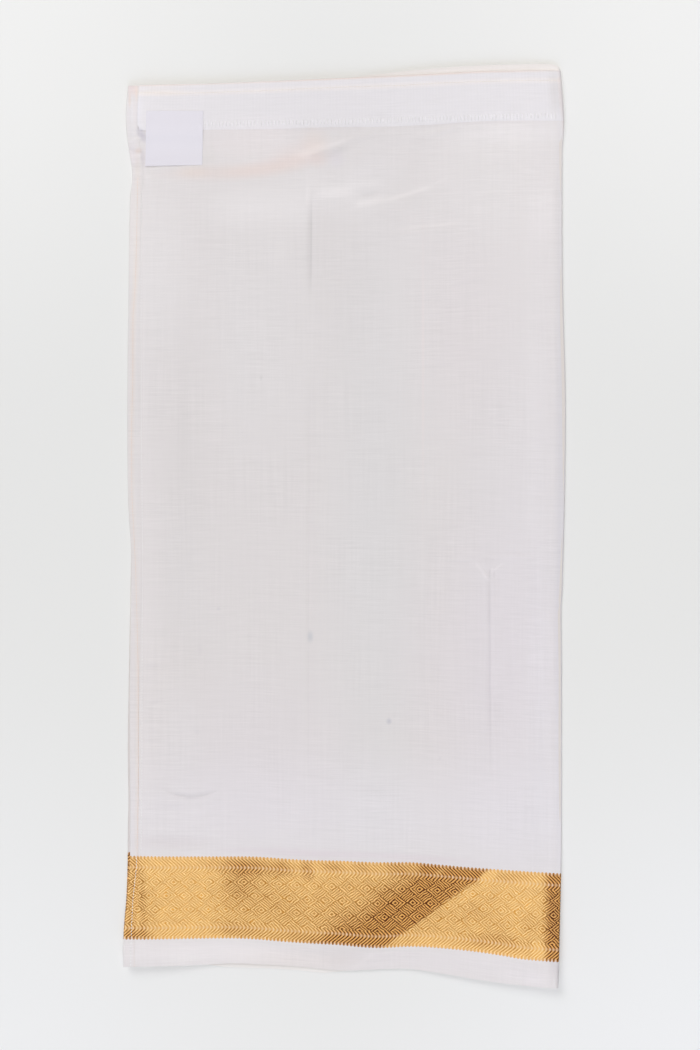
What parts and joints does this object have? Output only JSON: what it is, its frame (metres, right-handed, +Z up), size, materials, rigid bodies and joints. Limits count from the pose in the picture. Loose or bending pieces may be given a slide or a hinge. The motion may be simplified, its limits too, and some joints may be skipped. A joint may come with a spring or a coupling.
{
  "type": "folded dhoti cloth",
  "caption": "Fine white dhoti cloth folded into a flat stack, with a woven gold zari border above the selvedge, a turned waist band and a bare sewn label.",
  "frame": {"origin": "centre of the bounding box's bottom face, on the surface the folded cloth rests on", "axes": "+X across the folded cloth towards its smooth fold, +Y along it towards the waist band, +Z up from the surface it rests on"},
  "size_m": [0.443, 0.922, 0.0128],
  "materials": {
    "cotton": "fine off-white silk-cotton, plain weave, soft sheen",
    "zari": "gold metallic thread in a woven diaper with chevron edges",
    "band": "fine off-white cloth, turned double and stitched",
    "label": "white satin ribbon, bare",
    "layers": "fine off-white cloth, edges of the folded layers"
  },
  "bodies": {
    "root": {"ground_cloth": "cotton", "selvedge_strip": "cotton", "zari_border": "zari", "waist_band": "band", "end_hem_ground": "cotton", "end_hem_zari": "zari", "end_hem_selvedge": "cotton", "label": "label", "hidden_layers": "layers"}
  },
  "joints": []
}
